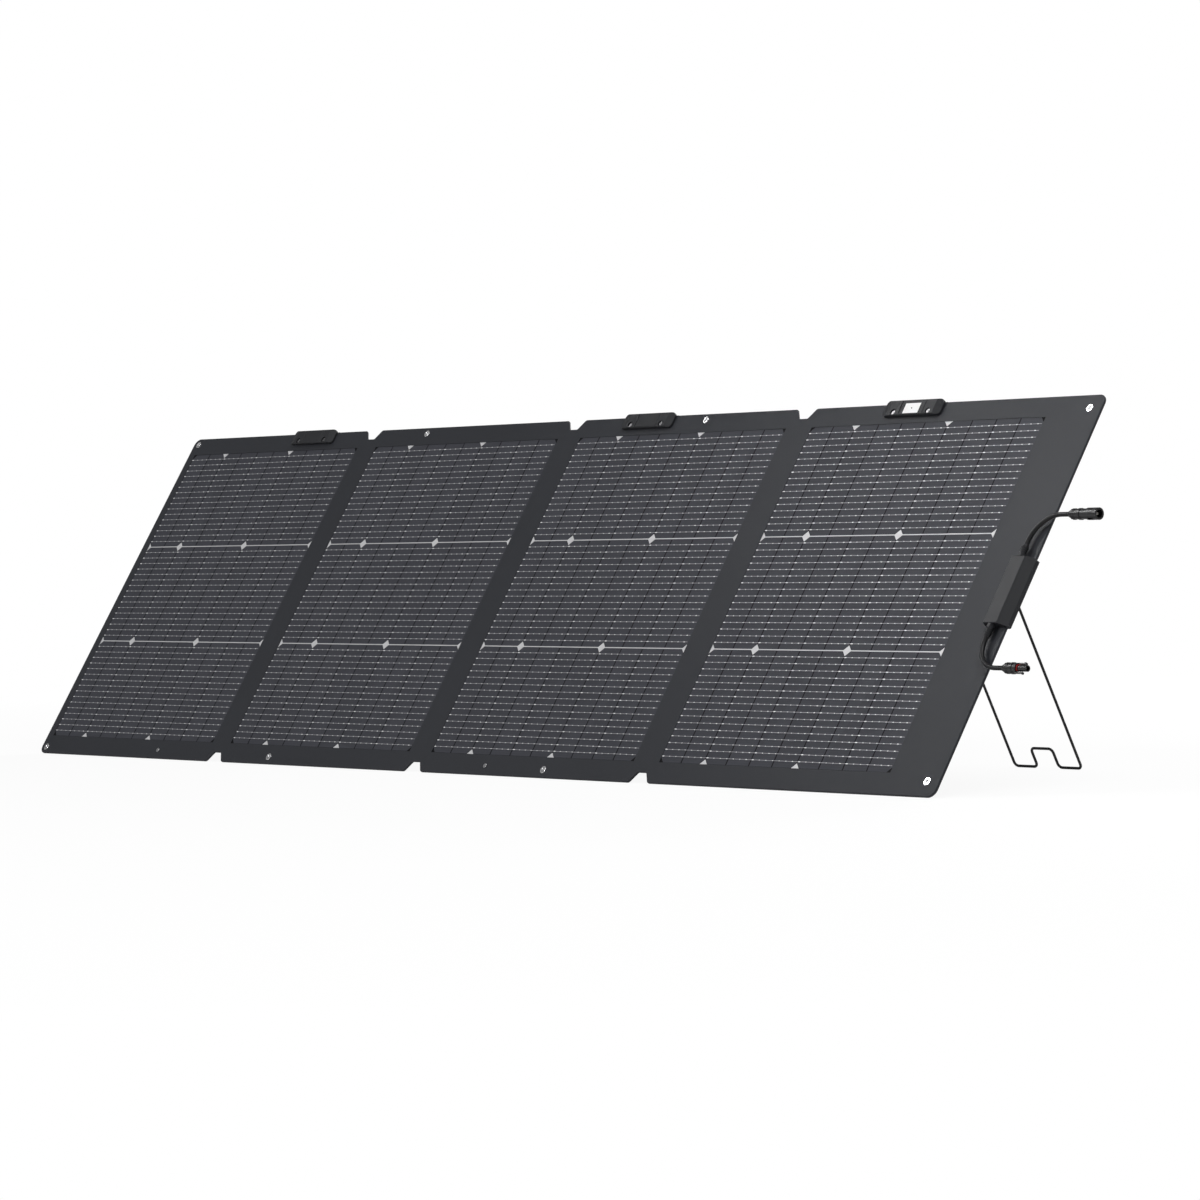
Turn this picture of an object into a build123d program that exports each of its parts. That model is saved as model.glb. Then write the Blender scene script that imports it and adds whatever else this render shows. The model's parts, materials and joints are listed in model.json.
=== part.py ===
from build123d import *
import math
import os

# Folding solar panel for camping: four stiff leaves joined by fabric hinges, held up by three wire legs.
# Every piece is drawn on the flat panel and then tilted onto the ground by stand_up().
#   Panel frame: x to the right, y up the slope, z out of the front face, in millimetres.
#   Its x = 0, y = 0 is the lower left corner of the first leaf's cells, and z = 0 the front face.
#   Row frame: +Z up, the front faces -Y, the origin is on the ground under the middle of the object.

# ---- driving dimensions, millimetres and degrees ----
SLOPE = 57.8                        # panel against the ground
LEFT, RIGHT = -17.5, 2204.3         # side edges of the open panel
BOTTOM, TOP = -32.5, 584.0          # lower and upper edges
THICK = 4.0                         # leaf thickness
CORNER_R = 13.0                     # outer corners of the whole panel
MOUTH_R, FLOOR_R = 6.0, 3.0         # corners at a notch's mouth and floor
CELL_X = (0.0, 536.1, 1076.0, 1617.3)   # left edge of each leaf's cells
FOLD_X = (511.2, 1049.2, 1589.8)    # fold lines
FOLD_GAP = (8.0, 22.0, 34.0)        # between two folded front faces; each fold axis stands half of it out
BAND = 43.0                         # flexible band between two leaves
NOTCH_DEPTH, NOTCH_FLOOR = 16.5, 19.0

# solar cells: each 182 mm wafer is cut into four strips
STRIP_PITCH, STRIP_GAP, STRIPS = 48.6, 2.2, 10
ROW_PITCH, ROW_GAP, ROWS = 184.0, 1.7, 3
CHAMFER = 7.6                       # cut corner of a wafer
WIRES = 16                          # busbar wires across one row
WIRE_W, WIRE_PITCH, WIRE_INSET = 0.8, 10.82, 3.0
TAPE_W, TAPE_INSET = 5.0, 12.0
WINDOW_RIM = 0.4                    # window edge outside the cells
CELLS_W, CELLS_H = STRIPS * STRIP_PITCH, ROWS * ROW_PITCH

# depths below the front face, top and bottom of each layer
COVER_SKIN = 0.5                    # thickness of the cover's skin
BOARD_FIT = 0.05                    # space between the cover and the board inside it
WIRE_Z = (-0.22, -0.32)
CELL_Z = (-0.34, -0.50)
MARK_Z = (-0.54, -0.62)
TAPE_Z = (-0.66, -0.78)
POCKET_Z = -0.80
BOARD_Z = (-COVER_SKIN - 0.02, -THICK + COVER_SKIN + 0.02)
BAND_Z = (0.0, -3.2)
BAND_FIT = 0.1                      # space between a band and the leaves beside it
LEAD_Z = (-3.3, -3.65)

# eyelets and the buttons under the foot clips
EYELET_R, EYELET_HOLE_R, EYELET_BARREL_R, EYELET_RIM = 5.8, 3.2, 3.8, 0.8
EYELETS = (
    ((-2.3, 572.0), (-2.1, -21.5)),
    ((663.4, 572.7), (660.5, -20.5)),
    ((1366.3, 573.0), (1365.2, -20.0)),
    ((2182.0, 562.6), (2181.0, -10.0)),
)

# stands on leaves 1, 3 and 4
STAND_LEAVES = (1, 3, 4)
STAND_X = {1: 347.0, 3: 1232.0, 4: 1825.7}
COVER_W, COVER_LOW, COVER_HIGH, COVER_T = 120.0, 561.8, 586.6, 6.5
COVER_SIDE, COVER_SLOPE, COVER_CORNER = 3.0, 13.0, 6.0   # end walls, their sloped tops, corners
GROOVE_W, GROOVE_DEEP = 3.0, 0.8
GROOVE_DX = (-23.3, 27.0)           # the two grooves across a cover
SCREW_DX, SCREW_Y = 36.3, 567.3
SCREW_HEAD_R, SCREW_HEAD_T, SCREW_R = 3.7, 1.8, 1.5
SCREW_SLOT, SCREW_SLOT_W, SCREW_SLOT_DEEP = 2.1, 0.9, 0.9
SCREW_SEAT_Z, SCREW_TIP_Z = 3.2, -10.5
RECESS_R = 4.6
BRACKET_W, BRACKET_LOW, BRACKET_Z = 122.0, 546.0, -12.5
LEG_Y, LEG_Z = 555.0, -8.5          # the leg's hinge axis
LEG_R, LEG_HALF, LEG_BEND = 2.0, 68.6, 7.0
LEG_ANGLE = 58.8                    # open leg against the panel's back
LEG_PIN_END = 52.0                  # inner end of each hinge pin
PIN_CLEAR = 0.08
JOG_HALF, JOG_RISE = 22.0, 30.5     # raised middle of the foot
CLIP_OFFSET = -8.0                  # clip and button beside the stand's centre line
CLIP_HALF, CLIP_LOW, CLIP_T = 9.0, -26.0, 1.9
CLIP_FOOT_HALF = 4.0                # the channel's walls beside the folded foot
BUTTON_Y, BUTTON_R, BUTTON_T = -17.8, 3.6, 1.3
TARGET_W, TARGET_H, TARGET_T = 31.4, 16.3, 1.0
TARGET_DX, TARGET_Y, TARGET_DOT_R = 1.0, 572.2, 1.0

# junction box and its two leads, on the right margin of leaf 4
BOX_X, BOX_Y, BOX_L = 2186.5, 274.0, 103.0
BOX_BASE = (-21.5, 21.5)            # edges of the lid's base and face, from BOX_X
BOX_FACE = (-16.7, 8.7)
BOX_HIGH, BOX_FLOOR_Z, BOX_WALL = 12.0, 1.6, 1.8
BASE_BACK = 1.0                     # thickness of the base behind the panel
WIRE_SLOT = (6.0, 15.0)             # half width and half length of the slot for the leaves' wires
TERMINAL_HALF, TERMINAL_T = (14.0, 46.0), 1.4
DIODE_Y, DIODE_T = (-33.0, -11.0, 11.0, 33.0), 2.4
LEAD_Z0, BOX_LEAD_DX = 6.9, -4.0    # cable axis above the front face, and from BOX_X
CABLE_R, GLAND_R, GLAND_L = 3.2, 4.9, 19.0
GLAND_NUT, GLAND_TIP = 5.0, 3.0     # lengths of the gland's hexagon and of its tapered end
GLAND_GROOVES = (8.0, 11.0, 14.0)
CABLE_BEND = 42.0
NUT_RIBS = 12
PLUG_REACH = 2240.0                 # where both connectors begin
SOCKET_L, PLUG_L = 56.0, 46.6
NUT_L, SLEEVE_R, SHOULDER_R, NOSE_R = 14.1, 7.2, 7.9, 4.3
CONNECTOR_Y = {"socket": 391.0, "plug": 157.0}
EPS = 0.05                          # assembly clearance between stacked pieces

# ---- the panel's place in the row frame ----
COS, SIN = math.cos(math.radians(SLOPE)), math.sin(math.radians(SLOPE))
LIFT = -BOTTOM * SIN + THICK * COS                       # the lower back edge touches the ground
HINGE_Z = LIFT + LEG_Y * SIN + LEG_Z * COS
LEAN = math.radians(SLOPE + LEG_ANGLE)
LEG_L = (HINGE_Z - LEG_R) / math.sin(LEAN)               # the foot touches the ground
FRONT_Y = BOTTOM * COS
FOOT_Y = LEG_Y * COS - LEG_Z * SIN - LEG_L * math.cos(LEAN) + LEG_R
X_MID = (LEFT + PLUG_REACH + SOCKET_L) / 2
Y_MID = (FRONT_Y + FOOT_Y) / 2
PANEL = Plane(origin=(-X_MID, -Y_MID, LIFT), x_dir=(1, 0, 0), z_dir=(0, -SIN, COS))


def stand_up(shape):
    """Carries a shape from the panel frame to the row frame."""
    return PANEL.location * shape


def save(name, pieces):
    """Writes one node: a solid, or a group of separate solids."""
    solids = [s for p in (pieces if isinstance(pieces, list) else [pieces]) for s in p.solids()]
    shape = solids[0] if len(solids) == 1 else Compound(children=solids)
    os.makedirs("parts", exist_ok=True)
    export_step(stand_up(shape), f"parts/{name}.step")


# ---- small helpers ----
def slab(x0, x1, y0, y1, z0, z1):
    """A block between two corners."""
    return Pos((x0 + x1) / 2, (y0 + y1) / 2, (z0 + z1) / 2) * Box(x1 - x0, y1 - y0, abs(z1 - z0))


def peg(x, y, z0, z1, radius):
    """An upright cylinder between two heights."""
    return Pos(x, y, (z0 + z1) / 2) * Cylinder(radius, abs(z1 - z0))


def plate(points, z0, z1):
    """A flat plate with the given outline."""
    return Pos(0, 0, min(z0, z1)) * extrude(make_face(Polyline(*points, close=True)), abs(z1 - z0))


def leaf_edges(n):
    """Left and right edge of leaf n."""
    left = LEFT if n == 1 else FOLD_X[n - 2] + BAND / 2
    right = RIGHT if n == 4 else FOLD_X[n - 1] - BAND / 2
    return left, right


def panel_blank(z0, z1, inset=0.0):
    """The whole open panel as a plate: rounded corners, and a tapered notch at both ends of each fold."""
    half, floor = BAND / 2, NOTCH_FLOOR / 2
    notches = [(x + dx, depth) for x in FOLD_X for dx, depth in
               ((-half, 0), (-floor, NOTCH_DEPTH), (floor, NOTCH_DEPTH), (half, 0))]
    lower = [(LEFT, BOTTOM)] + [(x, BOTTOM + depth) for x, depth in notches] + [(RIGHT, BOTTOM)]
    upper = [(RIGHT, TOP)] + [(x, TOP - depth) for x, depth in reversed(notches)] + [(LEFT, TOP)]
    face = make_face(Polyline(*(lower + upper), close=True))
    for xs, radius in (
        ((LEFT, RIGHT), CORNER_R),
        ([x + side * half for x in FOLD_X for side in (-1, 1)], MOUTH_R),
        ([x + side * floor for x in FOLD_X for side in (-1, 1)], FLOOR_R),
    ):
        spots = [v for v in face.vertices() if min(abs(v.X - x) for x in xs) < EPS]
        face = fillet(spots, radius)
    if inset:
        face = offset(face, amount=-inset)
    return Pos(0, 0, min(z0, z1)) * extrude(face, abs(z1 - z0))


def leaf_blank(n, z0, z1, inset=0.0):
    """The part of the panel that leaf n takes up, as a plate."""
    x0, x1 = leaf_edges(n)
    return panel_blank(z0, z1, inset) & slab(x0 + inset, x1 - inset, BOTTOM, TOP, z0, z1)


def wire_slot(z0, z1):
    """Slot behind the junction box for the leaves' wires."""
    half_w, half_l = WIRE_SLOT
    return slab(BOX_X - half_w, BOX_X + half_w, BOX_Y - half_l, BOX_Y + half_l, z0, z1)


def leaf_holes(n, z0, z1):
    """Everything that passes through leaf n: eyelets, stand screws, the clip's rivet and the box's wires."""
    cuts = [peg(x, y, z0, z1, EYELET_BARREL_R + EPS) for x, y in EYELETS[n - 1]]
    if n in STAND_X:
        cuts += [peg(STAND_X[n] + dx, SCREW_Y, z0, z1, SCREW_R + 0.3) for dx in (-SCREW_DX, SCREW_DX)]
    if n in (1, 3):
        cuts.append(peg(STAND_X[n] + CLIP_OFFSET, BUTTON_Y, z0, z1, BUTTON_R / 2 + EPS))
    if n == 4:
        cuts.append(wire_slot(z0, z1))
    return cuts


def leaf_window(n, rim, z0, z1):
    """The block that clears the cell window."""
    x0 = CELL_X[n - 1]
    return slab(x0 - rim, x0 + CELLS_W + rim, -rim, CELLS_H + rim, z0, z1)


def cover(n):
    """Charcoal cover of a leaf: one skin round the front, the edges and the back, open over the cells."""
    body = leaf_blank(n, 0, -THICK)
    body -= leaf_blank(n, -COVER_SKIN, -THICK + COVER_SKIN, COVER_SKIN)
    body -= leaf_window(n, WINDOW_RIM, 1, -COVER_SKIN - 0.1)
    return body - leaf_holes(n, 1, -THICK - 1)


def board(n):
    """Stiff board inside the cover, with a shallow pocket for the cells."""
    body = leaf_blank(n, *BOARD_Z, COVER_SKIN + BOARD_FIT)
    body -= leaf_window(n, WINDOW_RIM, 0, POCKET_Z)
    return body - leaf_holes(n, 1, -THICK - 1)


def cut_corner(col, right):
    """True where a strip's side is a wafer's outer edge, which has cut corners."""
    line = col + 1 if right else col
    return line in (0, 2, 6, STRIPS)


def strip(n, row, col):
    """One quarter of a wafer, with the wafer's cut corners on its outer side."""
    x0 = CELL_X[n - 1] + col * STRIP_PITCH + STRIP_GAP / 2
    x1 = x0 + STRIP_PITCH - STRIP_GAP
    y0 = row * ROW_PITCH + ROW_GAP / 2
    y1 = y0 + ROW_PITCH - ROW_GAP
    left = CHAMFER if cut_corner(col, False) else 0
    right = CHAMFER if cut_corner(col, True) else 0
    points = [(x0 + left, y0), (x1 - right, y0), (x1, y0 + right), (x1, y1 - right),
              (x1 - right, y1), (x0 + left, y1), (x0, y1 - left), (x0, y0 + left)]
    points = [p for i, p in enumerate(points) if p != points[i - 1]]
    return plate(points, *CELL_Z)


def cells(n):
    """All the cell strips of a leaf, in three rows of ten."""
    return [strip(n, row, col) for row in range(ROWS) for col in range(STRIPS)]


def diamond(x, y, half_w, half_h):
    """Bright tile behind the cut corners where four wafers meet."""
    return plate([(x - half_w, y), (x, y - half_h), (x + half_w, y), (x, y + half_h)], *MARK_Z)


def reflectors(n):
    """Bright strips between the rows, with a diamond at each wafer corner, and half diamonds at the ends."""
    x0 = CELL_X[n - 1]
    half_w, half_h = CHAMFER + STRIP_GAP / 2, CHAMFER + ROW_GAP / 2
    window = slab(x0, x0 + CELLS_W, 0, CELLS_H, *MARK_Z)
    marks = []
    for row in range(ROWS + 1):
        y = row * ROW_PITCH
        tiles = [diamond(x0 + line * STRIP_PITCH, y, half_w, half_h) & window for line in (0, 2, 6, STRIPS)]
        if 0 < row < ROWS:
            bar = slab(x0, x0 + CELLS_W, y - ROW_GAP / 2, y + ROW_GAP / 2, *MARK_Z)
            marks.append(bar + tiles)
        else:
            marks += tiles[1:-1]
    return marks


def busbars(n):
    """Wires that collect the current across each row, and the flat tapes that join the rows from behind."""
    x0 = CELL_X[n - 1]
    first = (ROW_PITCH - (WIRES - 1) * WIRE_PITCH - WIRE_W) / 2
    start, end = x0 + WIRE_INSET, x0 + CELLS_W - WIRE_INSET
    wires = []
    for row in range(ROWS):
        for k in range(WIRES):
            y = row * ROW_PITCH + first + k * WIRE_PITCH
            wires.append(slab(start, end, y, y + WIRE_W, *WIRE_Z))
    near, far = x0 + TAPE_INSET, x0 + CELLS_W - TAPE_INSET
    left = slab(near, near + TAPE_W, ROW_PITCH + TAPE_INSET, CELLS_H - TAPE_INSET, *TAPE_Z)
    right = slab(far - TAPE_W, far, TAPE_INSET, 2 * ROW_PITCH - TAPE_INSET, *TAPE_Z)
    return wires + [left, right]


def eyelet(x, y):
    """Set metal eyelet: a rim on the front, a barrel through the leaf and a rolled rim on the back."""
    front, back = EPS, -THICK - EPS
    body = peg(x, y, front, front + EYELET_RIM, EYELET_R)
    body = fillet(body.faces().sort_by(Axis.Z)[-1].edges(), EYELET_RIM * 0.6)
    rear = peg(x, y, back - EYELET_RIM, back, EYELET_R)
    rear = fillet(rear.faces().sort_by(Axis.Z)[0].edges(), EYELET_RIM * 0.6)
    body = body + rear + peg(x, y, back, front, EYELET_BARREL_R)
    return body - peg(x, y, back - 2, front + 2, EYELET_HOLE_R)


def hinge_strip(k):
    """Flexible band between two leaves, with a tapered notch at each end."""
    x, half = FOLD_X[k], BAND / 2 - BAND_FIT
    return panel_blank(*BAND_Z) & slab(x - half, x + half, BOTTOM, TOP, *BAND_Z)


def hinge_leads(k):
    """Two flat conductors that carry the current across a fold."""
    x, half, width = FOLD_X[k], BAND / 2 - 0.3, 6.0
    return [slab(x - half, x + half, y, y + width, *LEAD_Z) for y in (150.0, 420.0)]


# ---- stands ----
def cover_groove(x, side):
    """Shallow groove across a cover, with a steep wall outwards (side -1 is left) and a gentle one inwards."""
    steep, gentle = x + side * GROOVE_W * 0.15, x - side * GROOVE_W * 0.85
    points = [(steep, COVER_T + EPS), (x, COVER_T - GROOVE_DEEP), (gentle, COVER_T + EPS)]
    outline = Plane.XZ * make_face(Polyline(*points, close=True))
    return Pos(0, COVER_HIGH + 1, 0) * extrude(outline, COVER_HIGH - COVER_LOW + 2)


def stand_cover(n):
    """Front plate on the panel's upper edge, with sloped ends, two grooves and two deep screw recesses."""
    x, half, top = STAND_X[n], COVER_W / 2, COVER_W / 2 - COVER_SLOPE
    section = [(x - half, EPS), (x + half, EPS), (x + half, COVER_SIDE), (x + top, COVER_T),
               (x - top, COVER_T), (x - half, COVER_SIDE)]
    outline = Plane.XZ * make_face(Polyline(*section, close=True))
    body = Pos(0, COVER_HIGH, 0) * extrude(outline, COVER_HIGH - COVER_LOW)
    rounded = slab(x - half, x + half, COVER_LOW, COVER_HIGH, 0, COVER_T + 1)
    body &= fillet(rounded.edges().filter_by(Axis.Z), COVER_CORNER)
    long_edges = body.faces().sort_by(Axis.Z)[-1].edges().filter_by(Axis.X)
    body = chamfer(long_edges, 1.2)
    for side, dx in zip((-1, 1), GROOVE_DX):
        body -= cover_groove(x + dx, side)
    for dx in (-SCREW_DX, SCREW_DX):
        body -= peg(x + dx, SCREW_Y, SCREW_SEAT_Z, COVER_T + 1, RECESS_R)
        body -= peg(x + dx, SCREW_Y, -1, COVER_T, SCREW_R + 0.15)
    if n == 4:
        body -= target_block(EPS, COVER_T - TARGET_T, COVER_T + 1)
    return body


def target_block(clearance, z0, z1):
    """The block that the sun target fills."""
    x, half_w, half_h = STAND_X[4] + TARGET_DX, TARGET_W / 2 + clearance, TARGET_H / 2 + clearance
    return slab(x - half_w, x + half_w, TARGET_Y - half_h, TARGET_Y + half_h, z0, z1)


def sun_target():
    """White plate with a sighting hole in the middle, which shows how well the panel faces the sun."""
    body = target_block(0, COVER_T - TARGET_T + EPS, COVER_T)
    return body - peg(STAND_X[4] + TARGET_DX, TARGET_Y, 0, COVER_T + 1, TARGET_DOT_R)


def stand_screws(n):
    """Two pan-head screws that clamp the front plate to the rear bracket."""
    screws = []
    for dx in (-SCREW_DX, SCREW_DX):
        x, y, seat = STAND_X[n] + dx, SCREW_Y, SCREW_SEAT_Z + EPS
        top = seat + SCREW_HEAD_T
        head = peg(x, y, seat, top, SCREW_HEAD_R)
        head = fillet(head.faces().sort_by(Axis.Z)[-1].edges(), 0.8)
        for long, wide in ((SCREW_SLOT, SCREW_SLOT_W / 2), (SCREW_SLOT_W / 2, SCREW_SLOT)):
            head -= slab(x - long, x + long, y - wide, y + wide, top - SCREW_SLOT_DEEP, top + 1)
        screws.append(head + peg(x, y, SCREW_TIP_Z, seat + EPS, SCREW_R))
    return screws


def stand_bracket(n):
    """Rear half of the clamp, which holds the leg's two hinge pins."""
    x, half, front = STAND_X[n], BRACKET_W / 2, -THICK - EPS
    body = slab(x - half, x + half, BRACKET_LOW, COVER_HIGH, BRACKET_Z, front)
    body = fillet(body.edges().filter_by(Axis.Z), 4.0)
    body = chamfer(body.faces().sort_by(Axis.Z)[0].edges(), 1.4)
    for dx in (-SCREW_DX, SCREW_DX):
        body -= peg(x + dx, SCREW_Y, SCREW_TIP_Z - 0.5, 0, SCREW_R + EPS)
    depth = half - LEG_PIN_END + 1
    for side in (-1, 1):
        bore = Cylinder(LEG_R + PIN_CLEAR, 2 * depth)
        body -= Pos(x + side * half, LEG_Y, LEG_Z) * Rot(0, 90, 0) * bore
    return body


def leg(n):
    """Wire leg: two hinge pins, two long wires and a foot with a raised middle."""
    foot, jog = LEG_L, LEG_L - JOG_RISE
    right = [(LEG_PIN_END, 0), (LEG_HALF, 0), (LEG_HALF, foot), (JOG_HALF, foot), (JOG_HALF, jog)]
    points = right + [(-u, v) for u, v in reversed(right)]
    path = FilletPolyline(*[(u, -v, 0) for u, v in points], radius=LEG_BEND)
    section = Plane(origin=path @ 0, z_dir=path % 0) * Circle(LEG_R)
    wire = sweep(section, path=path)
    return Pos(STAND_X[n], LEG_Y, LEG_Z) * Rot(LEG_ANGLE, 0, 0) * wire


def foot_clip(n):
    """Tab on the back with an open channel that the folded leg's foot drops into."""
    x = STAND_X[n] + CLIP_OFFSET
    back, floor = -THICK - EPS, -THICK - EPS - CLIP_T
    bar_y = LEG_Y - LEG_L + JOG_RISE
    wall_in, wall_out, lip = LEG_R + 0.3, LEG_R + 2.1, LEG_Z - LEG_R - 0.4
    body = slab(x - CLIP_HALF, x + CLIP_HALF, CLIP_LOW, bar_y + wall_out, floor, back)
    body = fillet(body.edges().filter_by(Axis.Z), 3.0)
    for y0, y1 in ((bar_y - wall_out, bar_y - wall_in), (bar_y + wall_in, bar_y + wall_out)):
        body += slab(x - CLIP_FOOT_HALF, x + CLIP_HALF - 1, y0, y1, lip, back - 0.5)
    if n in (1, 3):
        body -= peg(x, BUTTON_Y, floor - 1, back + 1, BUTTON_R / 2 + EPS)
    return body


def clip_rivet(n):
    """Rivet of the foot clip, whose round head is the button on the front."""
    x, back = STAND_X[n] + CLIP_OFFSET, -THICK - 2 * EPS - CLIP_T
    head = peg(x, BUTTON_Y, EPS, BUTTON_T, BUTTON_R)
    head = fillet(head.faces().sort_by(Axis.Z)[-1].edges(), 0.9)
    tail = peg(x, BUTTON_Y, back - 0.9, back, BUTTON_R - 0.6)
    return head + tail + peg(x, BUTTON_Y, back, EPS, BUTTON_R / 2)


# ---- junction box ----
def upright_cone(bottom_r, top_r, height):
    """A cone that stands on its wide end."""
    return Cone(bottom_r, top_r, height, align=(Align.CENTER, Align.CENTER, Align.MIN))


def box_prism(shrink, z0, z1):
    """Bar along the box with sloped sides, with its walls moved in by shrink."""
    length = BOX_L - 2 * shrink
    outline = Polyline((BOX_BASE[0] + shrink, z0), (BOX_BASE[1] - shrink, z0),
                       (BOX_FACE[1] - shrink / 2, z1), (BOX_FACE[0] + shrink / 2, z1), close=True)
    bar = extrude(Plane.XZ * make_face(outline), length / 2, both=True)
    return Pos(BOX_X, BOX_Y, 0) * bar


def junction_box_base():
    """Plastic base that wraps the panel's right edge, with a frame on the front and a plate on the back."""
    x0, x1 = BOX_X + BOX_BASE[0], BOX_X + BOX_BASE[1]
    y0, y1 = BOX_Y - BOX_L / 2, BOX_Y + BOX_L / 2
    body = slab(x0, x1, y0, y1, -THICK - EPS - BASE_BACK, BOX_FLOOR_Z)
    body = fillet(body.edges().filter_by(Axis.Z), 2.0)
    body -= slab(x0 - 1, RIGHT + EPS, y0 - 1, y1 + 1, -THICK - EPS, EPS)
    return body - wire_slot(0, BOX_FLOOR_Z + 1)


def junction_box_lid():
    """Cover with one wide sloped side and a hole for a cable gland in each end."""
    floor = BOX_FLOOR_Z + EPS
    body = box_prism(0, floor, BOX_HIGH)
    body = chamfer(body.faces().sort_by(Axis.Z)[-1].edges(), 0.8)
    body -= box_prism(BOX_WALL, floor - 1, BOX_HIGH - BOX_WALL)
    hole = Rot(90, 0, 0) * Cylinder(GLAND_R - 1.5 + EPS, BOX_L + 10)
    return body - Pos(BOX_X + BOX_LEAD_DX, BOX_Y, LEAD_Z0) * hole


def terminal_board():
    """Circuit board in the box, where the four leaves' wires meet."""
    z, (half_w, half_l) = BOX_FLOOR_Z + 0.1, TERMINAL_HALF
    return slab(BOX_X - half_w, BOX_X + half_w, BOX_Y - half_l, BOX_Y + half_l, z, z + TERMINAL_T)


def bypass_diodes():
    """Four diodes on the board, one for each leaf, beside the leads."""
    z = BOX_FLOOR_Z + 0.15 + TERMINAL_T
    return [slab(BOX_X + 4.5, BOX_X + 12.5, BOX_Y + dy - 4, BOX_Y + dy + 4, z, z + DIODE_T) for dy in DIODE_Y]


def cable_gland(side):
    """Gland in one end of the box: a thread through the wall, a hexagon and a ringed cap."""
    wall = BOX_WALL + 1.0
    thread = Pos(0, 0, -wall) * extrude(Circle(GLAND_R - 1.5), wall)
    nut = extrude(RegularPolygon(GLAND_R + 0.4, 6), GLAND_NUT)
    cap = Pos(0, 0, GLAND_NUT) * extrude(Circle(GLAND_R), GLAND_L - GLAND_NUT - GLAND_TIP)
    tip = Pos(0, 0, GLAND_L - GLAND_TIP) * upright_cone(GLAND_R - 0.3, CABLE_R + 0.5, GLAND_TIP)
    body = thread + nut + cap + tip - Cylinder(CABLE_R + EPS, 3 * GLAND_L)
    for z in GLAND_GROOVES:
        body -= Pos(0, 0, z) * (Cylinder(GLAND_R + 1, 1.2) - Cylinder(GLAND_R - 0.7, 2))
    turn = Rot(-90, 0, 0) if side > 0 else Rot(90, 0, 0)
    return Pos(BOX_X + BOX_LEAD_DX, BOX_Y + side * (BOX_L / 2 + EPS), LEAD_Z0) * turn * body


def cable(kind):
    """Round lead from inside the box to its connector, in one wide bend."""
    x, y_end = BOX_X + BOX_LEAD_DX, CONNECTOR_Y[kind]
    side = 1 if kind == "socket" else -1
    start = BOX_Y + side * (BOX_L / 2 - 8)
    path = FilletPolyline((x, start, LEAD_Z0), (x, y_end, LEAD_Z0), (PLUG_REACH + 9, y_end, LEAD_Z0),
                          radius=CABLE_BEND)
    return sweep(Plane(origin=path @ 0, z_dir=path % 0) * Circle(CABLE_R), path=path)


def along_lead(kind, body):
    """Lays a shape drawn upright along its own axis onto the end of a lead."""
    return Pos(PLUG_REACH, CONNECTOR_Y[kind], LEAD_Z0) * Rot(0, 90, 0) * body


def rod(z0, z1, radius):
    """A cylinder along the connector's axis."""
    return peg(0, 0, z0, z1, radius)


def connector_nut(kind):
    """Ribbed cap nut that clamps the lead in its connector."""
    half = NUT_L / 2
    body = upright_cone(4.0, SLEEVE_R - 0.2, half) + rod(half - EPS, NUT_L - 0.1, SLEEVE_R - 0.2)
    for k in range(NUT_RIBS):
        body += Rot(0, 0, 360 * k / NUT_RIBS) * slab(6.3, 7.6, -0.8, 0.8, half + 0.4, NUT_L - 0.7)
    return along_lead(kind, body - rod(-1, NUT_L + 1, CABLE_R + EPS))


def socket_body():
    """Socket half: a wide sleeve with a latch window on each side."""
    end = SOCKET_L
    body = rod(NUT_L, end - 14, SLEEVE_R) + rod(end - 20, end, SLEEVE_R + 1)
    body = body.fuse(rod(NUT_L + 6, NUT_L + 10, SHOULDER_R))
    body -= rod(end - 24, end + 1, 5.6)
    body -= rod(NUT_L - 1, end, CABLE_R + 0.2)
    for side in (-1, 1):
        body -= slab(-2.4, 2.4, side * 9 - 3, side * 9 + 3, end - 17, end - 7)
    return along_lead("socket", body)


def plug_body():
    """Plug half: a shouldered sleeve, a nose and two latch arms."""
    start, end = NUT_L, PLUG_L
    body = rod(start, start + 15, SLEEVE_R) + rod(start + 4, start + 8, SHOULDER_R)
    body += rod(start + 14, end, NOSE_R)
    body -= rod(start - 1, end + 1, CABLE_R + 0.2)
    for side in (-1, 1):
        arm = slab(-2.2, 2.2, side * 6.4 - 0.8, side * 6.4 + 0.8, start + 13, start + 27)
        hook = slab(-2.2, 2.2, side * 6.9 - 1.3, side * 6.9 + 1.3, start + 24, start + 27)
        body += arm + hook
    return along_lead("plug", body)


def plug_seal():
    """Red seal ring on the plug's nose, against its shoulder."""
    shoulder = NUT_L + 15 + EPS
    ring = rod(shoulder, shoulder + 1.8, 5.4) - rod(shoulder - 1, shoulder + 3, NOSE_R + EPS)
    return along_lead("plug", ring)


def contact(kind):
    """Metal contact in the middle of each connector, crimped onto the lead."""
    end = (SOCKET_L if kind == "socket" else PLUG_L) - 4
    body = rod(9.2, end, 1.9)
    if kind == "plug":
        return along_lead(kind, body - rod(end - 14, end + 1, 1.2))
    return along_lead(kind, body)


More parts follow.
